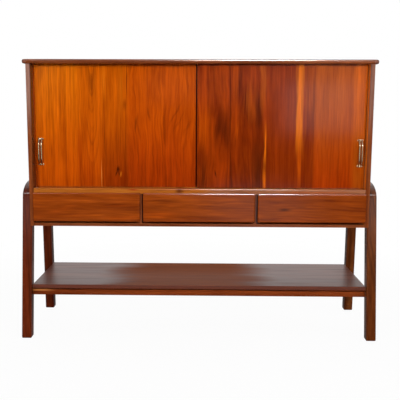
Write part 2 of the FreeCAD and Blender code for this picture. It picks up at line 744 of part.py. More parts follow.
def make_door(side, x0, x1, setback, handle_x):
    face = CASE_FRONT + setback
    holes = handle_screws(handle_x, face, FIT_CLEARANCE)
    export(f"door_panel_{side}", cut_all(door_panel(x0, x1, setback), holes))
    columns = [handle_x - HANDLE_ROD_SPACING / 2, handle_x + HANDLE_ROD_SPACING / 2]
    export(f"handle_rods_{side}", Part.makeCompound([handle_rod(x, face) for x in columns]))
    levels = sorted({z for _, z in handle_points(handle_x)})
    plates = [cut_all(handle_plate(handle_x, face, z), holes) for z in levels]
    export(f"handle_plates_{side}", Part.makeCompound(plates))
    export(f"handle_screws_{side}", Part.makeCompound(handle_screws(handle_x, face)))


# Drawers


def drawer_openings():
    """Left and right faces of each drawer opening."""
    inner = DIVIDER_CENTRE - DIVIDER_THICKNESS / 2
    outer = DIVIDER_CENTRE + DIVIDER_THICKNESS / 2
    return {"left": (-INNER_HALF, -outer), "middle": (-inner, inner), "right": (outer, INNER_HALF)}


DRAWER_FOOT = BOTTOM_TOP + GLIDE_THICKNESS + RUNNING_GAP
FRONT_LOW = BOTTOM_TOP + FINGER_GAP
LIP_REAR = CASE_FRONT - LIP_GAP
FRONT_REAR = LIP_REAR + INSET_THICKNESS
WALL_TOP = DRAWER_CEILING - DRAWER_WALL_DROP
DRAWER_END = BOARD_BACK - DRAWER_REAR_CLEARANCE
PANEL_LOW = FRONT_LOW + DRAWER_BOTTOM_RISE
PANEL_TOP = PANEL_LOW + DRAWER_BOTTOM_THICKNESS


def tails(x0, x1):
    """Dovetails at the front end of a drawer side."""
    pitch = (WALL_TOP - FRONT_LOW) / TAIL_COUNT
    half = TAIL_BASE / 2
    flare = half + INSET_THICKNESS / TAIL_SLOPE
    pieces = []
    for index in range(TAIL_COUNT):
        z = FRONT_LOW + pitch * (index + 0.5)
        outline = [
            (FRONT_REAR, z - half), (LIP_REAR, z - flare), (LIP_REAR, z + flare), (FRONT_REAR, z + half),
        ]
        pieces.append(prism_along_x(outline, x0, x1))
    return pieces


def drawer_bottom(x0, x1, clearance=0.0):
    """Bottom panel, held in grooves of the front and the sides. With a clearance it is the groove."""
    reach = DRAWER_WALL - DRAWER_GROOVE_DEPTH
    return block(
        x0 + reach - clearance, x1 - reach + clearance,
        FRONT_REAR - DRAWER_GROOVE_DEPTH - clearance, DRAWER_END,
        PANEL_LOW - clearance, PANEL_TOP + clearance,
    )


def drawer_back(x0, x1):
    reach = DRAWER_WALL - DRAWER_GROOVE_DEPTH
    rear = DRAWER_END - DRAWER_BACK_INSET
    return block(x0 + reach, x1 - reach, rear - DRAWER_WALL, rear, PANEL_TOP, WALL_TOP)


def drawer_front(opening, x0, x1):
    """Lipped front: the lip covers the edge of the opening, the inner part takes the dovetails."""
    lip_low_x = opening[0] - DRAWER_LIP
    lip_high_x = opening[1] + DRAWER_LIP
    face = LIP_REAR - LIP_THICKNESS
    lip = block(lip_low_x, lip_high_x, face, LIP_REAR, FRONT_LOW, DRAWER_CEILING + DRAWER_LIP)
    lip = lip.makeFillet(LIP_EDGE_RADIUS, edges_at(lip, y=face))
    inset = block(x0, x1, LIP_REAR, FRONT_REAR, FRONT_LOW, DRAWER_CEILING - INSET_TOP_CLEARANCE)
    sockets = tails(x0, x0 + DRAWER_WALL) + tails(x1 - DRAWER_WALL, x1)
    groove = drawer_bottom(x0, x1, DRAWER_GROOVE_CLEARANCE)
    return cut_all(lip.fuse(inset).removeSplitter(), sockets + [groove])


def drawer_side(x0, x1, box_x0, box_x1):
    plank = block(x0, x1, FRONT_REAR, DRAWER_END, DRAWER_FOOT, WALL_TOP)
    side = plank.fuse(tails(x0, x1)).removeSplitter()
    groove = drawer_bottom(box_x0, box_x1, DRAWER_GROOVE_CLEARANCE)
    return cut_all(side, [groove, drawer_back(box_x0, box_x1)])


def make_drawer(place, opening):
    x0 = opening[0] + DRAWER_SIDE_CLEARANCE
    x1 = opening[1] - DRAWER_SIDE_CLEARANCE
    export(f"drawer_{place}_front", drawer_front(opening, x0, x1))
    export(f"drawer_{place}_side_left", drawer_side(x0, x0 + DRAWER_WALL, x0, x1))
    export(f"drawer_{place}_side_right", drawer_side(x1 - DRAWER_WALL, x1, x0, x1))
    export(f"drawer_{place}_back", drawer_back(x0, x1))
    export(f"drawer_{place}_bottom", drawer_bottom(x0, x1))


def drawer_glides():
    """Strips on the case bottom that the drawer sides run on."""
    strips = []
    for opening in drawer_openings().values():
        for x in (opening[0], opening[1] - GLIDE_WIDTH):
            strips.append(
                block(
                    x, x + GLIDE_WIDTH, CASE_FRONT + GLIDE_SETBACK, BOARD_BACK,
                    BOTTOM_TOP, BOTTOM_TOP + GLIDE_THICKNESS,
                )
            )
    return strips


# Build and write every piece


def both_sides(name, right):
    export(f"{name}_right", right)
    export(f"{name}_left", mirrored_x(right))


def both_ends(shapes):
    return Part.makeCompound(shapes + [mirrored_x(shape) for shape in shapes])


export("top_board", top_board())
export("door_floor", door_floor())
export("case_bottom", case_bottom())
both_sides("side_panel", side_panel_right())
both_sides("drawer_divider", drawer_divider_right())
export("centre_partition", centre_partition())
export("back_panel", back_panel())
both_sides("inner_shelf", inner_shelf_right())
export("shelf_pegs", Part.makeCompound(shelf_pegs()))
export("drawer_glides", Part.makeCompound(drawer_glides()))
export("case_dowels", Part.makeCompound(top_dowels() + floor_dowels() + partition_dowels()))
export("back_screws", Part.makeCompound(back_screws()))

FRONT_LEG = front_leg_right()
both_sides("front_leg", FRONT_LEG)
both_sides("rear_leg", mirrored_y(FRONT_LEG))
both_sides("frame_rail", frame_rail_right())
export("frame_dowels", both_ends(frame_dowels()))
export("frame_screws", both_ends(frame_screws()))

export("lower_shelf", lower_shelf())
FRONT_RAIL = shelf_front_rail()
export("shelf_front_rail", FRONT_RAIL)
export("shelf_rear_rail", mirrored_y(FRONT_RAIL))
export("rail_dowels", both_ends(rail_dowels()))
export("shelf_screws", Part.makeCompound(shelf_screws()))

DOOR_EDGE = INNER_HALF - DOOR_SIDE_CLEARANCE
HANDLE_X = INNER_HALF - HANDLE_EDGE_DISTANCE
make_door("left", -DOOR_EDGE, DOOR_OVERLAP / 2, FRONT_DOOR_SETBACK + DOOR_SPACING, -HANDLE_X)
make_door("right", -DOOR_OVERLAP / 2, DOOR_EDGE, FRONT_DOOR_SETBACK, HANDLE_X)

for drawer_place, drawer_opening in drawer_openings().items():
    make_drawer(drawer_place, drawer_opening)
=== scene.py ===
import math
from collections import namedtuple

import bpy
from mathutils import Matrix, Vector


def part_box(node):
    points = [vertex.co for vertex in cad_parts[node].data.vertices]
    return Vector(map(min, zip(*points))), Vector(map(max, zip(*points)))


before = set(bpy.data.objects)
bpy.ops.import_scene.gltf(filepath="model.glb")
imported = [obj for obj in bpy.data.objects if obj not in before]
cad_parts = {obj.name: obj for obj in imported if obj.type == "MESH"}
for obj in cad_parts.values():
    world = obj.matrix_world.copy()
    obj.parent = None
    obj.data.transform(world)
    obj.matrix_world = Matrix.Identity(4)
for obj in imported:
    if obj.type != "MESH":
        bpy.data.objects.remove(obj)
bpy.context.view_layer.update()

# Colour sockets of a mix node, and the places of the axes in a vector
MIX_FIRST = 6
MIX_SECOND = 7
MIX_RESULT = 2
AXES = {"X": 0, "Y": 1, "Z": 2}

# Wood tones, as they look in even light, in sRGB
GOLDEN = (208, 102, 4)
AMBER = (196, 88, 3)
COPPER = (184, 74, 3)
SIENNA = (172, 66, 3)
CINNAMON = (168, 58, 2)
BRICK = (157, 51, 2)
RUSSET = (150, 50, 2)
CHESTNUT = (136, 45, 2)
MAHOGANY = (121, 38, 1)
WALNUT = (112, 52, 22)
UMBER = (82, 26, 3)
BLACKENED = (44, 14, 2)
SAPWOOD = (214, 112, 18)
PALE_SAPWOOD = (236, 146, 62)
ORANGE = (214, 102, 8)
GINGER = (162, 70, 8)
HONEY = (176, 108, 52)
BEECH_LIGHT = (214, 178, 132)
BEECH_DARK = (182, 138, 92)
PLY_LIGHT = (196, 152, 104)
PLY_DARK = (150, 102, 62)
WORN = (176, 116, 66)
# A grey reflection painted on the case sides' front edges, not a wood tone
REFLECTION_GREY = (172, 146, 134)
# A sheen painted on the front edge of the floor under the doors, not a wood tone
SHEEN_TAN = (148, 98, 74)
BARE = (140, 70, 26)
NICKEL = (204, 184, 148)
STEEL = (190, 186, 178)

# Stocks: the tone of growth lines and the two tones between them
Stock = namedtuple("Stock", "lines mid light")
CASE_STOCK = Stock(UMBER, (118, 56, 25), (128, 66, 32))
FLOOR_STOCK = Stock(WALNUT, (166, 90, 26), (178, 104, 34))
FRONT_STOCK = Stock(UMBER, (122, 48, 4), (138, 58, 6))
LEFT_SIDE_STOCK = Stock(UMBER, (120, 57, 25), (130, 66, 31))
LEG_STOCKS = {
    "left": Stock(BLACKENED, (83, 24, 3), (97, 35, 9)),
    "right": Stock(BLACKENED, (90, 40, 8), (104, 52, 16)),
}
SHELF_STOCK = Stock(UMBER, (92, 44, 24), (106, 54, 30))
RAIL_STOCK = Stock(UMBER, (106, 42, 8), (122, 52, 14))
BOX_STOCK = Stock(WALNUT, (126, 78, 42), (140, 90, 50))
INSIDE_STOCK = Stock(HONEY, (190, 124, 66), (204, 140, 80))
PLY_STOCK = Stock(PLY_DARK, PLY_LIGHT, PLY_LIGHT)
BEECH_STOCK = Stock(BEECH_DARK, BEECH_LIGHT, BEECH_LIGHT)
GLIDE_STOCK = Stock(BLACKENED, UMBER, CHESTNUT)

# Noise drawn out along the grain: waves per metre along and across it, a detail and a shift
Stretch = namedtuple("Stretch", "along across detail shift", defaults=[2.0, 0.0])
NOISE_MIDDLE = 0.5
SLOW_SWAY = Stretch(2.0, 7.0, shift=3.1)
QUICK_SWAY = Stretch(9.0, 22.0, shift=8.7)
SLOW_SWAY_SHARE = 2.0
QUICK_SWAY_SHARE = 0.7

# Fibres, strands and bands in every wood: how they lighten it and roughen its lacquer
FIBRES = Stretch(14.0, 260.0, detail=3.0, shift=5.0)
STRANDS = Stretch(4.5, 120.0, detail=3.0, shift=1.7)
BANDS = Stretch(1.6, 42.0, shift=4.4)
FIBRE_SHADE = 0.80
STRAND_SHADE = 0.95
BAND_SHADE = 0.70
FIBRE_ROUGHNESS = 0.07
BAND_ROUGHNESS = 0.05

# Growth lines, by the level of noise from which they show, and the broad change between a stock's tones
PLAIN_FINENESS = 105.0
PLAIN_WAVE = 0.006
LINE_WAVES = 2.5
LINE_DETAIL = 3.0
LINE_START = 0.46
LINE_FULL = 0.68
BROAD_TONES = Stretch(1.1, 15.0, shift=2.2)
BROAD_START = -0.15
BROAD_FULL = 0.20
GREEN_SHADE_POWER = 1.3
BLUE_SHADE_POWER = 1.6

# Lacquer and the pores in it. Its gloss is given as a roughness.
PLAIN_GLOSS = 0.20
PLAIN_SHINE = 0.5
DULL_ROUGHNESS = 0.95
LACQUER_IOR = 1.5
PORE_STRENGTH = 0.25
PORE_DEPTH = 0.00015

# Worn edges: from where the bevelled normal leaves the flat one, in patches
PLAIN_WEAR = 0.35
WEAR_RADIUS = 0.0035
WEAR_SAMPLES = 4
WEAR_FLAT = 0.99
WEAR_TURNED = 0.80
WEAR_SCALE = 55.0
WEAR_DETAIL = 3.0
WEAR_START = 0.40
WEAR_FULL = 0.62

# The part of its normal from which a face begins to look along an axis, and does so in full
FACING_START = 0.5
FACING_FULL = 0.9

# Doors: glued boards, listed from the left by the X of the joint that ends them, with their upper and
# lower tones. A board's heart lies at X heart and meets the face at the height heart_level, leaning by
# lean. Its grain wanders by wave. It has about fineness growth lines to the metre, which show by contrast,
# and it is patchy by mottle. Streaks lie at x across the grain, from low to high along it.
DOOR_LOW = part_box("door_panel_left")[0].z
DOOR_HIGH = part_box("door_panel_left")[1].z
Board = namedtuple("Board", "end upper lower heart heart_level lean wave fineness contrast mottle")
Streak = namedtuple("Streak", "x slant width low high tone strength")

LEFT_DOOR_BOARDS = [
    Board(-0.474, GOLDEN, COPPER, -0.86, 2.0, 0.05, 0.006, 105.0, 0.26, 0.3),
    Board(-0.379, AMBER, SIENNA, -0.424, 1.30, 0.068, 0.006, 240.0, 0.48, 0.4),
    Board(-0.282, AMBER, CHESTNUT, -0.58, 1.8, 0.05, 0.012, 105.0, 0.28, 0.6),
    Board(-0.134, COPPER, BRICK, -0.62, 1.7, 0.05, 0.034, 130.0, 0.32, 0.6),
    Board(0.02, COPPER, BRICK, 0.25, 0.3, 0.16, 0.030, 130.0, 0.34, 0.6),
]
LEFT_DOOR_STREAKS = [
    # The first streak is the left handle's shadow, painted beside it
    Streak(-0.5860, 0.0, 0.0016, 0.68, 0.80, UMBER, 0.45),
    Streak(-0.5478, 0.01, 0.0030, 0.78, 1.04, UMBER, 0.35),
    Streak(-0.4725, 0.0, 0.0080, 0.55, 0.88, RUSSET, 0.55),
    Streak(-0.4450, 0.0, 0.0300, 0.50, 0.74, RUSSET, 0.60),
    Streak(-0.4240, 0.0, 0.0020, 0.90, 1.07, UMBER, 0.30),
    Streak(-0.3770, 0.01, 0.0050, 0.92, 1.12, SAPWOOD, 0.45),
    Streak(-0.3860, 0.0, 0.0011, 0.55, 0.73, PALE_SAPWOOD, 0.85),
    Streak(-0.3100, 0.01, 0.0070, 0.86, 1.12, SAPWOOD, 0.35),
    Streak(-0.2830, 0.01, 0.0036, 0.92, 1.12, UMBER, 0.60),
    Streak(-0.2940, 0.0, 0.0080, 0.89, 0.96, UMBER, 0.45),
    Streak(-0.3250, 0.0, 0.0060, 0.652, 0.690, BLACKENED, 0.85),
    Streak(-0.3310, 0.30, 0.0030, 0.638, 0.670, BLACKENED, 0.75),
    Streak(-0.3200, -0.20, 0.0024, 0.638, 0.668, BLACKENED, 0.60),
    Streak(-0.3130, 0.10, 0.0024, 0.636, 0.668, SAPWOOD, 0.75),
    Streak(-0.2560, 0.12, 0.0040, 0.80, 0.91, UMBER, 0.50),
    Streak(-0.2480, -0.12, 0.0040, 0.78, 0.88, UMBER, 0.40),
    Streak(-0.2620, 0.0, 0.0100, 0.70, 0.87, CHESTNUT, 0.45),
    Streak(-0.2360, 0.0, 0.0120, 0.52, 0.75, CHESTNUT, 0.65),
    Streak(-0.2000, -0.15, 0.0045, 0.85, 0.93, UMBER, 0.45),
    Streak(-0.1934, 0.02, 0.0090, 0.93, 1.06, RUSSET, 0.40),
    Streak(-0.1340, 0.0, 0.0080, 0.50, 0.99, MAHOGANY, 0.60),
    Streak(-0.0900, 0.50, 0.0045, 0.82, 0.96, UMBER, 0.36),
    Streak(-0.0720, 0.50, 0.0045, 0.80, 0.93, UMBER, 0.28),
    Streak(-0.0420, 0.35, 0.0045, 0.79, 0.89, UMBER, 0.28),
    Streak(-0.1130, 0.0, 0.0100, 0.52, 0.69, CHESTNUT, 0.60),
]
RIGHT_DOOR_BOARDS = [
    Board(0.119, CHESTNUT, MAHOGANY, 0.09, 0.45, 0.054, 0.024, 110.0, 0.34, 2.3),
    Board(0.2615, CHESTNUT, MAHOGANY, 0.18, 0.40, 0.09, 0.018, 110.0, 0.34, 2.3),
    Board(0.443, CHESTNUT, MAHOGANY, 0.95, 2.0, 0.04, 0.010, 60.0, 0.16, 0.7),
    Board(0.600, GINGER, BRICK, -0.05, 2.2, 0.05, 0.010, 60.0, 0.12, 0.5),
    Board(0.70, AMBER, GINGER, -0.05, 2.2, 0.05, 0.010, 60.0, 0.12, 0.3),
]
RIGHT_DOOR_STREAKS = [
    Streak(0.0770, 0.0, 0.0280, 0.88, 1.16, COPPER, 0.18),
    Streak(0.0180, 0.02, 0.0200, 0.72, 0.95, COPPER, 0.60),
    Streak(0.0860, -0.16, 0.0330, 0.72, 0.94, UMBER, 0.65),
    Streak(0.0850, 0.0, 0.0360, 0.52, 0.78, CINNAMON, 0.42),
    Streak(0.0190, 0.03, 0.0180, 0.52, 0.76, UMBER, 0.85),
    Streak(0.0640, -0.25, 0.0026, 0.635, 0.678, BLACKENED, 0.80),
    Streak(0.1215, -0.03, 0.0034, 0.50, 1.14, UMBER, 0.75),
    Streak(0.1370, 0.0, 0.0110, 0.89, 1.16, COPPER, 0.45),
    Streak(0.1600, 0.0, 0.0090, 0.92, 1.16, UMBER, 0.55),
    Streak(0.2050, -0.05, 0.0200, 0.82, 1.05, GINGER, 0.50),
    Streak(0.1480, 0.0, 0.0040, 0.78, 0.87, COPPER, 0.45),
    Streak(0.2280, -0.05, 0.0140, 0.78, 1.02, UMBER, 0.75),
    Streak(0.2260, 0.04, 0.0260, 0.50, 0.85, UMBER, 0.70),
    Streak(0.2360, 0.0, 0.0130, 0.55, 0.76, BLACKENED, 0.45),
    Streak(0.2450, 0.0, 0.0100, 0.86, 1.16, GINGER, 0.75),
    Streak(0.2555, 0.0, 0.0072, 0.66, 0.885, ORANGE, 1.0),
    Streak(0.2550, 0.0, 0.0070, 0.52, 0.715, AMBER, 0.90),
    Streak(0.3930, -0.01, 0.0135, 0.70, 1.20, GOLDEN, 0.90),
    Streak(0.3950, 0.0, 0.0080, 0.57, 0.80, COPPER, 0.75),
    Streak(0.4260, 0.0, 0.0180, 0.84, 1.20, GINGER, 0.55),
    Streak(0.4430, 0.0, 0.0045, 0.50, 1.12, UMBER, 0.40),
    Streak(0.4250, 0.0, 0.0160, 0.50, 0.86, MAHOGANY, 0.60),
]
JOINT_SOFTNESS = 0.016
BOARD_SHIFT = 7.7
TONE_EDGE = Stretch(1.5, 9.0)
TONE_SWAY = 0.35
DOOR_PATCHES = Stretch(5.0, 27.0, detail=4.0, shift=9.1)

# Streaks and painted shades end, and their cores begin, at these shares of their half width. Streaks also
# sway, fray and taper.
MARK_END = 1.4
STREAK_CORE = 0.3
CORNER_SHADE_CORE = 0.6
OVERLAP_SHADOW_CORE = 0.7
STREAK_WANDER = Stretch(3.0, 12.0, shift=6.3)
STREAK_STRANDS = Stretch(5.0, 110.0, detail=3.0, shift=2.9)
STREAK_SWAY = 1.6
STREAK_FADE = 0.12
WIDE_STREAK = 0.014
WIDE_RAGGEDNESS = 4.0
NARROW_RAGGEDNESS = 2.0

# A painted shadow on the left door, along the edge of the door in front of it
OVERLAP_SHADOW_AT = -0.0112
OVERLAP_SHADOW_HALF_WIDTH = 0.0026

Door = namedtuple("Door", "boards streaks texture rubbed")
LEFT_DOOR = Door(LEFT_DOOR_BOARDS, LEFT_DOOR_STREAKS, texture=0.85, rubbed=OVERLAP_SHADOW_AT)
RIGHT_DOOR = Door(RIGHT_DOOR_BOARDS, RIGHT_DOOR_STREAKS, texture=0.75, rubbed=None)

# Drawer fronts, shelf rails and the edge of the floor above the drawers: streaks along X, at a height x
DRAWER_STREAKS = {
    "left": [
        Streak(0.522, 0.20, 0.010, -0.61, -0.46, COPPER, 0.15),
        Streak(0.506, 0.20, 0.010, -0.59, -0.43, UMBER, 0.15),
        Streak(0.488, 0.06, 0.010, -0.40, -0.18, COPPER, 0.20),
        Streak(0.554, 0.0, 0.009, -0.43, -0.30, UMBER, 0.20),
        Streak(0.536, 0.0, 0.005, -0.42, -0.20, COPPER, 0.25),
    ],
    "middle": [
        Streak(0.553, 0.0, 0.008, -0.18, -0.05, UMBER, 0.30),
        Streak(0.500, 0.0, 0.012, -0.25, -0.06, COPPER, 0.25),
        Streak(0.548, -0.05, 0.006, 0.02, 0.13, UMBER, 0.25),
        Streak(0.520, 0.03, 0.006, 0.04, 0.18, UMBER, 0.20),
    ],
    "right": [
        Streak(0.5195, 0.0, 0.0070, 0.295, 0.372, BLACKENED, 0.70),
        Streak(0.531, 0.10, 0.005, 0.355, 0.435, BLACKENED, 0.30),
        Streak(0.492, 0.0, 0.008, 0.225, 0.345, UMBER, 0.30),
        Streak(0.480, 0.0, 0.005, 0.24, 0.46, COPPER, 0.25),
        Streak(0.506, 0.0, 0.006, 0.36, 0.60, UMBER, 0.20),
    ],
}
RAIL_STREAKS = [
    # The first streak is a painted shadow between the shelf and the rail; the second is sapwood
    Streak(0.1935, 0.0, 0.0020, -0.90, 0.90, BLACKENED, 0.90),
    Streak(0.1885, 0.0, 0.0030, -0.72, -0.56, HONEY, 0.90),
]
FLOOR_STREAKS = [
    Streak(0.600, 0.0, 0.008, -0.292, -0.225, RUSSET, 0.90),
    Streak(0.592, 0.0, 0.016, -0.100, -0.052, UMBER, 0.85),
    # Painted sheen on the right part of the floor's front edge
    Streak(0.590, 0.0, 0.024, -0.02, 0.80, SHEEN_TAN, 0.75),
    Streak(0.584, 0.0, 0.008, 0.28, 0.62, COPPER, 0.35),
]

# Drawer fronts: the depth from which their figure is measured, and the shifts that set their grain apart
FRONT_FACE = -0.2
FRONT_SHIFT = 15.0
FRONT_SHIFT_STEP = 3.7

# Case sides: how strongly a grey reflection is painted on the front edge, more so high up, and shade at its
# inner corner, and the painted light and shade of the inner face from the front edge to the door
Side = namedtuple("Side", "stock sunned soiled front_tone door_tone shift")
SIDES = {
    "left": Side(LEFT_SIDE_STOCK, 0.38, 0.60, BLACKENED, COPPER, 4.0),
    "right": Side(CASE_STOCK, 0.22, 0.30, ORANGE, HONEY, 9.0),
}
SHEEN_LOW = 0.78
SHEEN_HIGH = 0.95
CORNER_SHADE_WIDTH = 0.0035
LIGHT_AND_SHADE_SHARE = 0.85
LIGHT_AND_SHADE_DEPTH = 0.028
LIGHT_AND_SHADE_START = 0.004
LIGHT_AND_SHADE_FULL = 0.002

# The dull ends of the top, by the sideways part of the normal, and the painted shade from a divider's middle
# on
END_GRAIN_START = 0.05
END_GRAIN_FULL = 0.30
DIVIDER_SHADE_START = 0.001
DIVIDER_SHADE_FULL = 0.002

# The open shelf: its worn middle, by X, its figure and its dark front edge
WORN_SHELF_MIDDLE = -0.05
WORN_SHELF_HALF = 0.16
WORN_SHELF_FADE = 0.22
WORN_SHELF_EDGE = Stretch(2.0, 9.0, shift=7.0)
WORN_SHELF_SWAY = 0.25
WORN_SHELF_SHARE = 0.8
SHELF_FIGURE = Stretch(3.5, 60.0, detail=4.0, shift=3.0)
SHELF_FIGURE_FULL = 0.18
SHELF_FIGURE_SHARE = 0.3
SHELF_FIGURE_DULLED = 0.12
SHELF_EDGE_START = 0.2
SHELF_EDGE_FULL = 0.7
SHELF_EDGE_SHARE = 0.75

# Metal, with its dull patches and its scratches
HANDLE_ROUGHNESS = 0.14
SCREW_ROUGHNESS = 0.3
TARNISH = 0.85
PATCH_SCALE = 140.0
PATCH_DETAIL = 4.0
PATCH_START = 0.5
PATCH_FULL = 0.85
PATCH_ROUGHNESS = 0.12
SCRATCHES_ACROSS = 3000.0
SCRATCHES_ALONG = 90.0
SCRATCH_ROUGHNESS = 0.08

# Camera: the photograph's viewpoint
CAMERA_PLACE = Vector((0.0056, -2.836, 0.9045))
CAMERA_PITCH = 0.1509
CAMERA_YAW = -0.01801
CAMERA_ROLL = 0.003185
CAMERA_LENS = 61.2
CAMERA_SENSOR = 36.0
CAMERA_SHIFT = (0.02975, 0.03375)

# Lamps: two soft windows, low on both sides of the camera, give most of the light. The others fill in
# weakly, or are seen by gloss only, for the highlights on edges, shoulders, lacquer and metal. Some are
# kept off some pieces, or light only the legs or the handles.
Lamp = namedtuple("Lamp", "name place target size watts seen_by kept_off only", defaults=[(), ()])
ALL = "all"
GLOSS = "gloss"
MATT = "matt"
LEGS = ("front_leg_left", "front_leg_right", "rear_leg_left", "rear_leg_right")
RODS = ("handle_rods_left", "handle_rods_right")
HANDLES = RODS + ("handle_plates_left", "handle_plates_right")
NO_CARD = LEGS + HANDLES + ("frame_rail_left", "frame_rail_right")
LAMPS = [
    Lamp("left_window", (-1.10, -3.2, 1.38), (-0.1, -0.1, 0.8), (0.8, 0.7), 42.0, MATT),
    Lamp("right_window", (1.10, -3.2, 1.38), (0.1, -0.1, 0.8), (0.8, 0.7), 35.0, MATT),
    Lamp("left_fill", (-2.6, -2.5, 1.6), (-0.3, -0.1, 0.7), (1.2, 1.4), 8.0, MATT),
    Lamp("right_fill", (3.1, -1.9, 1.4), (0.3, -0.1, 0.7), (0.8, 1.2), 21.0, MATT),
    Lamp("back_fill", (0.0, 2.6, 2.4), (0.0, 0.0, 0.6), (2.4, 1.2), 26.0, ALL),
    Lamp("bright_card", (0.40, -2.2, 2.6), (0.2, -0.2, 0.9), (0.80, 1.0), 330.0, GLOSS, NO_CARD),
    Lamp("far_window", (1.05, -3.4, 0.93), (0.5, -0.1, 0.9), (0.68, 0.42), 0.78, GLOSS),
    Lamp("high_window", (0.10, -3.4, 1.15), (0.05, -0.1, 1.0), (1.10, 0.36), 0.13, GLOSS),
    Lamp("left_strip", (-1.30, -2.4, 2.5), (-0.69, -0.2, 0.55), (0.4, 0.6), 8.0, GLOSS),
    Lamp("right_strip", (1.30, -2.4, 2.5), (0.69, -0.2, 0.55), (0.4, 0.6), 8.0, GLOSS),
    Lamp("floor_glint", (0.50, -3.4, 0.08), (0.2, -0.2, 0.5), (0.8, 0.24), 0.65, GLOSS),
    Lamp("left_sheen", (-1.51, -3.4, 0.63), (-0.68, -0.2, 0.5), (0.3, 0.26), 0.3, GLOSS, only=LEGS),
    Lamp("right_sheen", (1.53, -3.4, 0.63), (0.68, -0.2, 0.5), (0.3, 0.26), 0.4, GLOSS, only=LEGS),
    Lamp("handle_softbox", (0.3, -2.2, 1.70), (0.1, -0.2, 0.77), (3.0, 0.8), 130.0, GLOSS, only=RODS),
    Lamp("left_card", (-1.36, -3.4, 0.50), (-0.62, -0.2, 0.74), (0.4, 0.4), 1.4, GLOSS, only=HANDLES),
    Lamp("right_card", (1.36, -3.4, 0.50), (0.62, -0.2, 0.74), (0.4, 0.4), 2.0, GLOSS, only=HANDLES),
]

# Floor and background, by direction. The room in front of the object is darkest straight behind the camera.
WHITE = (1, 1, 1, 1)
BACKDROP_START = -0.05
BACKDROP_FULL = 0.30
BACKDROP_FILL = 0.45
BACKDROP_FOOT = 0.14
HORIZON_START = -0.03
HORIZON_FULL = 0.10
ROOM_GAP = 0.08
ROOM_GAP_FADE = 0.17
ROOM_LEVEL = 0.5
FLOOR_SIDES = 96
FLOOR_RADIUS = 2.2
FLOOR_FADE_START = FLOOR_RADIUS * 0.45
FLOOR_FADE_END = FLOOR_RADIUS * 0.95
FLOOR_WHITE = (0.86, 0.86, 0.86, 1.0)
FLOOR_GLOW = 0.95


def linear(colour):
    """sRGB bytes to linear RGBA."""
    parts = []
    for byte in colour:
        share = byte / 255
        parts.append(share / 12.92 if share <= 0.04045 else ((share + 0.055) / 1.055) ** 2.4)
    return (*parts, 1.0)


class Graph:
    """Short calls that add nodes to a tree. Those that make a value return its output socket."""

    def __init__(self, tree):
        self.nodes = tree.nodes
        self.links = tree.links
        self.nodes.clear()

    def feed(self, socket, value):
        """Links a socket to another one, or sets it to a plain value."""
        if isinstance(value, bpy.types.NodeSocket):
            self.links.new(value, socket)
        else:
            socket.default_value = value

    def add(self, kind, *inputs, **settings):
        """Adds a node, feeds its first inputs in order and returns the node."""
        node = self.nodes.new(kind)
        for name, value in settings.items():
            setattr(node, name, value)
        for index, value in enumerate(inputs):
            self.feed(node.inputs[index], value)
        return node

    def show(self, shader, output="ShaderNodeOutputMaterial"):
        """Makes a shader node the tree's surface."""
        self.links.new(shader.outputs[0], self.add(output).inputs["Surface"])

    def math(self, operation, first, second=0.0):
        return self.add("ShaderNodeMath", first, second, operation=operation).outputs[0]

    def total(self, *values):
        result = values[0]
        for value in values[1:]:
            result = self.math("ADD", result, value)
        return result

    def times(self, first, second):
        return self.math("MULTIPLY", first, second)

    def minus(self, first, second):
        return self.math("SUBTRACT", first, second)

    def smooth(self, value, start, end, low=0.0, high=1.0):
        """Goes smoothly from low to high as value goes from start to end."""
        node = self.add("ShaderNodeMapRange", value, start, end, low, high, interpolation_type="SMOOTHSTEP")
        return node.outputs[0]

    def vector(self, x, y, z):
        return self.add("ShaderNodeCombineXYZ", x, y, z).outputs[0]

    def parts(self, vector):
        return self.add("ShaderNodeSeparateXYZ", vector).outputs

    def place(self):
        return self.add("ShaderNodeTexCoord").outputs["Object"]

    def normal(self):
        return self.add("ShaderNodeNewGeometry").outputs["Normal"]

    def noise(self, vector, scale=1.0, detail=2.0):
        node = self.add("ShaderNodeTexNoise", noise_dimensions="3D")
        self.feed(node.inputs["Vector"], vector)
        node.inputs["Scale"].default_value = scale
        node.inputs["Detail"].default_value = detail
        return node.outputs["Fac"]

    def mix(self, share, first, second, blend="MIX"):
        node = self.add("ShaderNodeMix", share, data_type="RGBA", blend_type=blend)
        self.feed(node.inputs[MIX_FIRST], first)
        self.feed(node.inputs[MIX_SECOND], second)
        return node.outputs[MIX_RESULT]

    def stepped(self, value, edges, levels, soft=0.0):
        """The first level up to the first edge, the second up to the next, and so on."""
        result = levels[0]
        for edge, before, after in zip(edges, levels, levels[1:]):
            if soft:
                beyond = self.smooth(value, edge - soft, edge + soft)
            else:
                beyond = self.math("GREATER_THAN", value, edge)
            result = self.total(self.times(beyond, after - before), result)
        return result


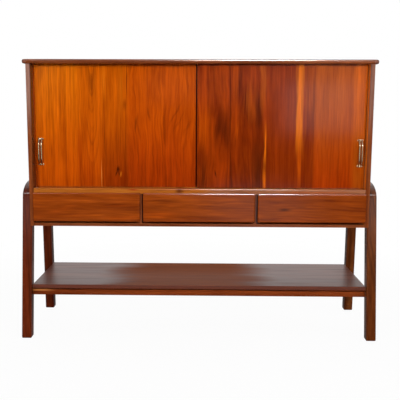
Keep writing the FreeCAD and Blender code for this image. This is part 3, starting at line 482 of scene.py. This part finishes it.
class Grain:
    """Solid wood in board directions: along the grain, across the face and through the thickness."""

    def __init__(self, g, directions):
        self.g = g
        place = g.parts(g.place())
        self.along, self.across, self.through = [place[AXES[direction]] for direction in directions]
        self.shift = 0.0

    def bend(self, shift, wave):
        """Makes the grain of each board its own, by shift, and lets it wander by up to about wave."""
        g = self.g
        self.shift = shift
        slow = g.times(self.stretched(SLOW_SWAY), SLOW_SWAY_SHARE)
        quick = g.times(self.stretched(QUICK_SWAY), QUICK_SWAY_SHARE)
        self.across = g.total(self.across, g.times(g.total(slow, quick), wave))

    def stretched(self, look):
        """Noise drawn out along the grain, about -0.5 to 0.5."""
        g = self.g
        vector = g.vector(
            g.total(g.times(self.along, look.along), self.shift, look.shift),
            g.times(self.across, look.across),
            g.times(self.through, look.across),
        )
        return g.minus(g.noise(vector, detail=look.detail), NOISE_MIDDLE)

    def figure(self, heart, heart_level, lean, face, fineness=PLAIN_FINENESS):
        """Uneven growth lines, 0 to 1, round a heart that meets the board's face at heart_level."""
        g = self.g
        side = g.minus(self.across, heart)
        rise = g.times(g.minus(self.along, heart_level), lean)
        deep = g.total(g.minus(self.through, face), rise)
        radius = g.math("SQRT", g.total(g.times(side, side), g.times(deep, deep)))
        vector = g.vector(g.times(radius, fineness), g.times(self.along, LINE_WAVES), self.shift)
        return g.smooth(g.noise(vector, detail=LINE_DETAIL), LINE_START, LINE_FULL)


def edge_wear(g):
    """0 on flat faces and up to 1 along edges, broken up by noise."""
    bevel = g.add("ShaderNodeBevel", WEAR_RADIUS, samples=WEAR_SAMPLES).outputs[0]
    likeness = g.add("ShaderNodeVectorMath", bevel, g.normal(), operation="DOT_PRODUCT").outputs["Value"]
    patches = g.noise(g.place(), scale=WEAR_SCALE, detail=WEAR_DETAIL)
    turned = g.smooth(likeness, WEAR_FLAT, WEAR_TURNED)
    return g.times(turned, g.smooth(patches, WEAR_START, WEAR_FULL))


def front_share(g):
    """1 on faces that look to the front, along -Y."""
    return g.smooth(g.parts(g.normal())[AXES["Y"]], -FACING_START, -FACING_FULL)


def new_material(name):
    material = bpy.data.materials.new(name)
    material.use_nodes = True
    return material, Graph(material.node_tree)


def lacquer(g, colour, roughness, bump_height, shine):
    """Principled surface with its roughness and pores from sockets."""
    bump = g.add("ShaderNodeBump")
    bump.inputs["Strength"].default_value = PORE_STRENGTH
    bump.inputs["Distance"].default_value = PORE_DEPTH
    g.feed(bump.inputs["Height"], bump_height)
    surface = g.add("ShaderNodeBsdfPrincipled")
    g.feed(surface.inputs["Base Color"], colour)
    g.feed(surface.inputs["Roughness"], roughness)
    surface.inputs["IOR"].default_value = LACQUER_IOR
    surface.inputs["Specular IOR Level"].default_value = shine
    g.feed(surface.inputs["Normal"], bump.outputs[0])
    g.show(surface)


def shaded(g, colour, shade):
    """Wood lightened or darkened by the factor shade, and redder the darker it is."""
    green = g.math("POWER", shade, GREEN_SHADE_POWER)
    blue = g.math("POWER", shade, BLUE_SHADE_POWER)
    return g.mix(1.0, colour, g.vector(shade, green, blue), "MULTIPLY")


def finish_wood(g, grain, colour, gloss=PLAIN_GLOSS, wear=PLAIN_WEAR, texture=1.0, shine=PLAIN_SHINE,
                dulled=None):
    """Fibres, pores and worn edges over a board's own colour. Dulled is a share of worn lacquer."""
    fibres = grain.stretched(FIBRES)
    strands = grain.stretched(STRANDS)
    bands = grain.stretched(BANDS)
    weave = g.total(g.times(fibres, FIBRE_SHADE), g.times(strands, STRAND_SHADE), g.times(bands, BAND_SHADE))
    colour = shaded(g, colour, g.total(1.0, g.times(weave, texture)))
    colour = g.mix(g.times(edge_wear(g), wear), colour, linear(WORN))
    roughness = g.total(gloss, g.times(fibres, FIBRE_ROUGHNESS), g.times(bands, BAND_ROUGHNESS))
    if dulled is not None:
        roughness = g.total(roughness, g.times(dulled, DULL_ROUGHNESS - gloss))
    lacquer(g, colour, roughness, fibres, shine)


def wood_colour(g, grain, stock, heart, heart_level=1.5, lean=0.06, face=0.0, contrast=0.5):
    """Growth lines in the stock's dark tone over its two lighter ones."""
    dark, mid, light = [linear(tone) for tone in stock]
    lines = grain.figure(heart, heart_level, lean, face)
    broad = grain.stretched(BROAD_TONES)
    colour = g.mix(g.smooth(broad, BROAD_START, BROAD_FULL), mid, light)
    return g.mix(g.times(lines, contrast), colour, dark)


def streak_share(g, grain, streak, wander, strands):
    """How much of a streak shows: soft and fibrous across its width, tapering at its ends."""
    sway = g.times(wander, streak.width * STREAK_SWAY)
    line = g.total(grain.across, g.times(grain.along, -streak.slant), sway)
    middle = streak.x - streak.slant * (streak.low + streak.high) / 2
    offset = g.math("ABSOLUTE", g.minus(line, middle))
    raggedness = WIDE_RAGGEDNESS if streak.width > WIDE_STREAK else NARROW_RAGGEDNESS
    ragged = g.total(offset, g.times(strands, streak.width * raggedness))
    band = g.smooth(ragged, streak.width * MARK_END, streak.width * STREAK_CORE)
    fade = min(STREAK_FADE, (streak.high - streak.low) / 2)
    rise = g.smooth(grain.along, streak.low, streak.low + fade)
    fall = g.smooth(grain.along, streak.high, streak.high - fade)
    return g.times(g.times(band, streak.strength), g.times(rise, fall))


def streaked(g, grain, colour, streaks, where=1.0):
    """Colour with streaks laid over it, where being a share of 1 where they show."""
    wander = grain.stretched(STREAK_WANDER)
    strands = grain.stretched(STREAK_STRANDS)
    for streak in streaks:
        share = g.times(streak_share(g, grain, streak, wander, strands), where)
        colour = g.mix(share, colour, linear(streak.tone))
    return colour


def wood(name, directions, stock, heart=0.3, shift=0.0, wave=PLAIN_WAVE, gloss=PLAIN_GLOSS,
         wear=PLAIN_WEAR, texture=1.0, streaks=(), **figure):
    """One board or several of the same stock."""
    material, g = new_material(name)
    grain = Grain(g, directions)
    grain.bend(shift, wave)
    colour = wood_colour(g, grain, stock, heart, **figure)
    colour = streaked(g, grain, colour, streaks)
    finish_wood(g, grain, colour, gloss, wear, texture)
    return material


def top_wood(name, stock, face):
    """Top board, its lacquer sunk into the end grain of both ends, which is dull."""
    material, g = new_material(name)
    grain = Grain(g, "XYZ")
    grain.bend(shift=0.0, wave=PLAIN_WAVE)
    colour = wood_colour(g, grain, stock, heart=0.02, face=face)
    sideways = g.math("ABSOLUTE", g.parts(g.normal())[AXES["X"]])
    finish_wood(g, grain, colour, dulled=g.smooth(sideways, END_GRAIN_START, END_GRAIN_FULL))
    return material


def floor_wood(name, stock, streaks):
    """Floor under the doors, streaked along its front edge."""
    material, g = new_material(name)
    grain = Grain(g, "XZY")
    grain.bend(shift=9.0, wave=PLAIN_WAVE)
    colour = wood_colour(g, grain, stock, heart=0.5, contrast=0.3)
    colour = streaked(g, grain, colour, streaks, front_share(g))
    finish_wood(g, grain, colour, wear=0.1, shine=0.15)
    return material


def side_wood(name, side, inner_x, door_face):
    """Case side whose inner face is at X inner_x. Before the door that face has painted light and shade, and
    the front edge has a painted grey reflection high up and painted shade at its inner corner.
    """
    material, g = new_material(name)
    grain = Grain(g, "ZYX")
    outward = math.copysign(1.0, inner_x)
    before_door = g.smooth(grain.across, door_face + LIGHT_AND_SHADE_START, door_face - LIGHT_AND_SHADE_FULL)
    near_door = g.smooth(grain.across, door_face - LIGHT_AND_SHADE_DEPTH, door_face)
    inside = g.times(g.minus(grain.through, inner_x), outward)
    grain.bend(side.shift, PLAIN_WAVE)
    colour = wood_colour(g, grain, side.stock, heart=0.4)
    front = front_share(g)
    # Painted grey reflection on the front edge, stronger high up
    high = g.smooth(grain.along, SHEEN_LOW, SHEEN_HIGH)
    colour = g.mix(g.times(g.times(front, high), side.sunned), colour, linear(REFLECTION_GREY))
    # Painted shade at the inner corner of the front edge
    corner = g.smooth(inside, CORNER_SHADE_WIDTH * MARK_END, CORNER_SHADE_WIDTH * CORNER_SHADE_CORE)
    colour = g.mix(g.times(g.times(front, corner), side.soiled), colour, linear(BLACKENED))
    # Painted light and shade on the inner face before the door: dark at the front edge on the left, lighter
    # on the right
    sideways = g.times(g.parts(g.normal())[AXES["X"]], outward)
    inward = g.smooth(sideways, -FACING_START, -FACING_FULL)
    tone = g.mix(near_door, linear(side.front_tone), linear(side.door_tone))
    colour = g.mix(g.times(g.times(inward, before_door), LIGHT_AND_SHADE_SHARE), colour, tone)
    finish_wood(g, grain, colour, wear=0.2, shine=0.2)
    return material


def divider_wood(name, stock, middle):
    """Upright between drawers, its right half painted dark as the shade beside the drawer front on its
    right.
    """
    material, g = new_material(name)
    grain = Grain(g, "ZYX")
    grain.bend(shift=6.0, wave=0.004)
    colour = wood_colour(g, grain, stock, heart=0.4)
    painted_shade = g.smooth(grain.through, middle - DIVIDER_SHADE_START, middle + DIVIDER_SHADE_FULL)
    colour = g.mix(painted_shade, colour, linear(BLACKENED))
    finish_wood(g, grain, colour, wear=0.2)
    return material


def shelf_wood(name, stock, face):
    """Shelf board, its lacquer worn dull in the middle, its front edge dark."""
    material, g = new_material(name)
    grain = Grain(g, "XYZ")
    grain.bend(shift=25.0, wave=PLAIN_WAVE)
    colour = wood_colour(g, grain, stock, heart=0.1, face=face)
    facing = g.parts(g.normal())
    sway = g.times(grain.stretched(WORN_SHELF_EDGE), WORN_SHELF_SWAY)
    offset = g.math("ABSOLUTE", g.total(grain.along, -WORN_SHELF_MIDDLE, sway))
    middle = g.smooth(offset, WORN_SHELF_HALF + WORN_SHELF_FADE, WORN_SHELF_HALF)
    middle = g.times(middle, g.smooth(facing[AXES["Z"]], FACING_START, FACING_FULL))
    colour = g.mix(g.times(middle, WORN_SHELF_SHARE), colour, linear(BARE))
    figured = g.smooth(grain.stretched(SHELF_FIGURE), 0.0, SHELF_FIGURE_FULL)
    colour = g.mix(g.times(figured, SHELF_FIGURE_SHARE), colour, linear(UMBER))
    front = g.smooth(facing[AXES["Y"]], -SHELF_EDGE_START, -SHELF_EDGE_FULL)
    colour = g.mix(g.times(front, SHELF_EDGE_SHARE), colour, linear(UMBER))
    dull_figure = g.times(figured, SHELF_FIGURE_DULLED)
    dulled = g.math("MAXIMUM", middle, g.math("MAXIMUM", dull_figure, front))
    finish_wood(g, grain, colour, gloss=0.34, wear=0.45, texture=0.45, shine=0.28, dulled=dulled)
    return material


def board_tones(g, across, boards, tones):
    """Colour that changes at each joint, tones being one per board."""
    edges = [board.end for board in boards[:-1]]
    channels = []
    for index in range(3):
        levels = [linear(tone)[index] for tone in tones]
        channels.append(g.stepped(across, edges, levels, soft=JOINT_SOFTNESS))
    return g.vector(*channels)


def door_wood(name, door, face):
    """Door of glued upright boards, each with its own figure and tone."""
    material, g = new_material(name)
    grain = Grain(g, "ZXY")
    boards = door.boards
    edges = [board.end for board in boards[:-1]]
    plain_across = grain.across
    shift = g.stepped(plain_across, edges, [BOARD_SHIFT * number for number in range(len(boards))])
    heart, heart_level, lean, wave, fineness, contrast, mottle = [
        g.stepped(plain_across, edges, [getattr(board, field) for board in boards])
        for field in ("heart", "heart_level", "lean", "wave", "fineness", "contrast", "mottle")
    ]
    upper = board_tones(g, plain_across, boards, [board.upper for board in boards])
    lower = board_tones(g, plain_across, boards, [board.lower for board in boards])
    grain.bend(shift, wave)
    height = g.total(grain.along, g.times(grain.stretched(TONE_EDGE), TONE_SWAY))
    colour = g.mix(g.smooth(height, DOOR_LOW, DOOR_HIGH), lower, upper)
    lines = grain.figure(heart, heart_level, lean, face, fineness)
    colour = g.mix(g.times(lines, contrast), colour, linear(UMBER))
    patches = grain.stretched(DOOR_PATCHES)
    colour = shaded(g, colour, g.total(1.0, g.times(patches, mottle)))
    colour = streaked(g, grain, colour, door.streaks)
    # Painted shadow of the door in front, along its edge
    if door.rubbed is not None:
        offset = g.math("ABSOLUTE", g.minus(plain_across, door.rubbed))
        overlap_shadow = g.smooth(offset, OVERLAP_SHADOW_HALF_WIDTH * MARK_END, OVERLAP_SHADOW_HALF_WIDTH * OVERLAP_SHADOW_CORE)
        colour = g.mix(overlap_shadow, colour, linear(BLACKENED))
    finish_wood(g, grain, colour, gloss=0.12, wear=0.2, texture=door.texture)
    return material


def metal(name, colour, roughness):
    """Worn metal with fine scratches and dull patches."""
    material, g = new_material(name)
    place = g.place()
    dull = g.noise(place, scale=PATCH_SCALE, detail=PATCH_DETAIL)
    x, y, z = g.parts(place)
    scratches = g.noise(g.vector(g.times(x, SCRATCHES_ACROSS), y, g.times(z, SCRATCHES_ALONG)))
    surface = g.add("ShaderNodeBsdfPrincipled")
    bright = linear(colour)
    tarnish = linear([part * TARNISH for part in colour])
    g.feed(surface.inputs["Base Color"], g.mix(g.smooth(dull, PATCH_START, PATCH_FULL), bright, tarnish))
    rough = g.total(roughness, g.times(dull, PATCH_ROUGHNESS), g.times(scratches, SCRATCH_ROUGHNESS))
    g.feed(surface.inputs["Roughness"], rough)
    surface.inputs["Metallic"].default_value = 1.0
    g.show(surface)
    return material


def paint(material, *names):
    for name in names:
        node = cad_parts[name]
        node.data.materials.clear()
        node.data.materials.append(material)


def middle_x(name):
    low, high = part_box(name)
    return (low.x + high.x) / 2


def dress_doors():
    handles = metal("handle_metal", NICKEL, HANDLE_ROUGHNESS)
    left_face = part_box("door_panel_left")[0].y
    paint(door_wood("door_left_wood", LEFT_DOOR, left_face), "door_panel_left")
    right_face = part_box("door_panel_right")[0].y
    paint(door_wood("door_right_wood", RIGHT_DOOR, right_face), "door_panel_right")
    for side in ("left", "right"):
        paint(handles, f"handle_rods_{side}", f"handle_plates_{side}")


def dress_drawers():
    sides = wood("drawer_side_wood", "YZX", BOX_STOCK, contrast=0.25, gloss=0.5, wear=0.1)
    backs = wood("drawer_back_beech", "XZY", BEECH_STOCK, contrast=0.25, gloss=0.5, wear=0.1)
    bottoms = wood("drawer_bottom_ply", "XYZ", PLY_STOCK, gloss=0.6, wear=0.1)
    for number, (place, streaks) in enumerate(DRAWER_STREAKS.items()):
        front = wood(f"drawer_{place}_wood", "XZY", FRONT_STOCK, heart=0.62, heart_level=1.2, lean=0.10,
                     face=FRONT_FACE, shift=FRONT_SHIFT + FRONT_SHIFT_STEP * number, wave=0.012,
                     contrast=0.24, texture=1.1, streaks=streaks)
        paint(front, f"drawer_{place}_front")
        paint(sides, f"drawer_{place}_side_left", f"drawer_{place}_side_right")
        paint(backs, f"drawer_{place}_back")
        paint(bottoms, f"drawer_{place}_bottom")
    paint(wood("glide_wood", "YXZ", GLIDE_STOCK, gloss=0.4, shift=13.0), "drawer_glides")


def dress_case():
    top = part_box("top_board")[1]
    paint(top_wood("top_wood", CASE_STOCK, top.z), "top_board")
    for side, look in SIDES.items():
        panel = f"side_panel_{side}"
        inner_x = min((corner.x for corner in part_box(panel)), key=abs)
        door_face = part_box(f"door_panel_{side}")[0].y
        paint(side_wood(f"side_{side}_wood", look, inner_x, door_face), panel)
        divider = f"drawer_divider_{side}"
        paint(divider_wood(f"divider_{side}_wood", CASE_STOCK, middle_x(divider)), divider)
    paint(floor_wood("floor_wood", FLOOR_STOCK, FLOOR_STREAKS), "door_floor")
    paint(wood("bottom_wood", "XYZ", CASE_STOCK, shift=12.0), "case_bottom")
    paint(wood("partition_wood", "ZYX", INSIDE_STOCK, gloss=0.5, shift=31.0), "centre_partition")
    shelves = wood("inner_shelf_wood", "XYZ", INSIDE_STOCK, gloss=0.5, shift=33.0)
    paint(shelves, "inner_shelf_left", "inner_shelf_right")
    paint(wood("back_plywood", "ZXY", PLY_STOCK, heart=0.2, lean=0.05, gloss=0.6, wear=0.1), "back_panel")


def dress_frames():
    for side, stock in LEG_STOCKS.items():
        legs = wood(f"leg_{side}_wood", "ZXY", stock, heart=0.9, shift=20.0)
        paint(legs, f"front_leg_{side}", f"rear_leg_{side}")
        paint(wood(f"frame_rail_{side}_wood", "YZX", stock, heart=0.4), f"frame_rail_{side}")
    paint(shelf_wood("shelf_wood", SHELF_STOCK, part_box("lower_shelf")[1].z), "lower_shelf")
    rails = wood("shelf_rail_wood", "XZY", RAIL_STOCK, shift=28.0, streaks=RAIL_STREAKS)
    paint(rails, "shelf_front_rail", "shelf_rear_rail")


def dress_fixings():
    pins = wood("dowel_beech", "XYZ", BEECH_STOCK, contrast=0.2, gloss=0.55, wear=0.1)
    paint(pins, "shelf_pegs", "case_dowels", "frame_dowels", "rail_dowels")
    steel = metal("screw_metal", STEEL, SCREW_ROUGHNESS)
    paint(steel, "handle_screws_left", "handle_screws_right", "back_screws", "frame_screws", "shelf_screws")


def make_camera():
    forward_flat = Vector((math.sin(CAMERA_YAW), math.cos(CAMERA_YAW), 0))
    right = Vector((math.cos(CAMERA_YAW), -math.sin(CAMERA_YAW), 0))
    up_axis = Vector((0, 0, 1))
    forward = math.cos(CAMERA_PITCH) * forward_flat - math.sin(CAMERA_PITCH) * up_axis
    up = math.sin(CAMERA_PITCH) * forward_flat + math.cos(CAMERA_PITCH) * up_axis
    rolled_right = math.cos(CAMERA_ROLL) * right + math.sin(CAMERA_ROLL) * up
    rolled_up = math.cos(CAMERA_ROLL) * up - math.sin(CAMERA_ROLL) * right
    data = bpy.data.cameras.new("camera")
    data.lens = CAMERA_LENS
    data.sensor_width = CAMERA_SENSOR
    data.shift_x, data.shift_y = CAMERA_SHIFT
    camera = bpy.data.objects.new("camera", data)
    turn = Matrix((rolled_right, rolled_up, -forward)).transposed().to_4x4()
    camera.matrix_world = Matrix.Translation(CAMERA_PLACE) @ turn
    bpy.context.scene.collection.objects.link(camera)
    bpy.context.scene.camera = camera


def aim_at_nodes(light, names, state):
    """Keeps a lamp's light to these nodes, or off them, as flags and snoots do in a studio."""
    receivers = bpy.data.collections.new(f"{light.name}_receivers")
    for name in names:
        receivers.objects.link(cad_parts[name])
    for item in receivers.collection_objects:
        item.light_linking.link_state = state
    light.light_linking.receiver_collection = receivers


def make_lamps():
    for lamp in LAMPS:
        data = bpy.data.lights.new(lamp.name, "AREA")
        data.shape = "RECTANGLE"
        data.size, data.size_y = lamp.size
        data.energy = lamp.watts
        data.cycles.use_multiple_importance_sampling = lamp.seen_by != MATT
        light = bpy.data.objects.new(lamp.name, data)
        light.location = lamp.place
        aim = Vector(lamp.target) - Vector(lamp.place)
        light.rotation_euler = aim.to_track_quat("-Z", "Y").to_euler()
        if lamp.kept_off:
            aim_at_nodes(light, lamp.kept_off, "EXCLUDE")
        if lamp.only:
            aim_at_nodes(light, lamp.only, "INCLUDE")
        light.visible_diffuse = lamp.seen_by != GLOSS
        light.visible_glossy = lamp.seen_by != MATT
        bpy.context.scene.collection.objects.link(light)


def seen_directly(g):
    """1 for what the camera sees directly or through glass, 0 for light on the object."""
    path = g.add("ShaderNodeLightPath").outputs
    return g.math("MAXIMUM", path["Is Camera Ray"], path["Is Transmission Ray"])


def make_world():
    """White to the camera and, behind the object, in gloss too. The room in front is dim, its floor dark."""
    world = bpy.data.worlds.new("studio")
    world.use_nodes = True
    bpy.context.scene.world = world
    g = Graph(world.node_tree)
    x, y, z = g.parts(g.add("ShaderNodeTexCoord").outputs["Generated"])
    behind = g.smooth(y, BACKDROP_START, BACKDROP_FULL)
    above = g.smooth(z, HORIZON_START, HORIZON_FULL)
    beside = g.smooth(g.math("ABSOLUTE", g.total(x, ROOM_GAP)), ROOM_GAP, ROOM_GAP + ROOM_GAP_FADE)
    backdrop = g.times(behind, above)
    room = g.times(above, g.times(beside, ROOM_LEVEL))
    fill = g.smooth(above, 0.0, 1.0, BACKDROP_FOOT, BACKDROP_FILL)
    level = g.smooth(behind, 0.0, 1.0, room, fill)
    in_gloss = g.times(g.add("ShaderNodeLightPath").outputs["Is Glossy Ray"], backdrop)
    white = g.math("MAXIMUM", seen_directly(g), in_gloss)
    colour = g.mix(white, g.vector(level, level, level), WHITE)
    g.show(g.add("ShaderNodeBackground", colour, 1.0), "ShaderNodeOutputWorld")


def make_floor():
    """Pale disc that takes the object's shadow and fades into the white background."""
    bpy.ops.mesh.primitive_circle_add(vertices=FLOOR_SIDES, radius=FLOOR_RADIUS, fill_type="NGON")
    floor = bpy.context.object
    floor.name = "floor"
    material, g = new_material("floor_white")
    paper = g.add("ShaderNodeBsdfDiffuse", FLOOR_WHITE)
    glow = g.add("ShaderNodeEmission", WHITE, 1.0)
    reach = g.add("ShaderNodeVectorMath", g.place(), operation="LENGTH").outputs["Value"]
    glow_share = g.smooth(reach, FLOOR_FADE_START, FLOOR_FADE_END, FLOOR_GLOW, 1.0)
    share = g.times(seen_directly(g), glow_share)
    g.show(g.add("ShaderNodeMixShader", share, paper.outputs[0], glow.outputs[0]))
    floor.data.materials.append(material)
    floor.visible_glossy = False


dress_doors()
dress_drawers()
dress_case()
dress_frames()
dress_fixings()
make_camera()
make_lamps()
make_world()
make_floor()
bpy.context.scene.view_settings.view_transform = "Standard"
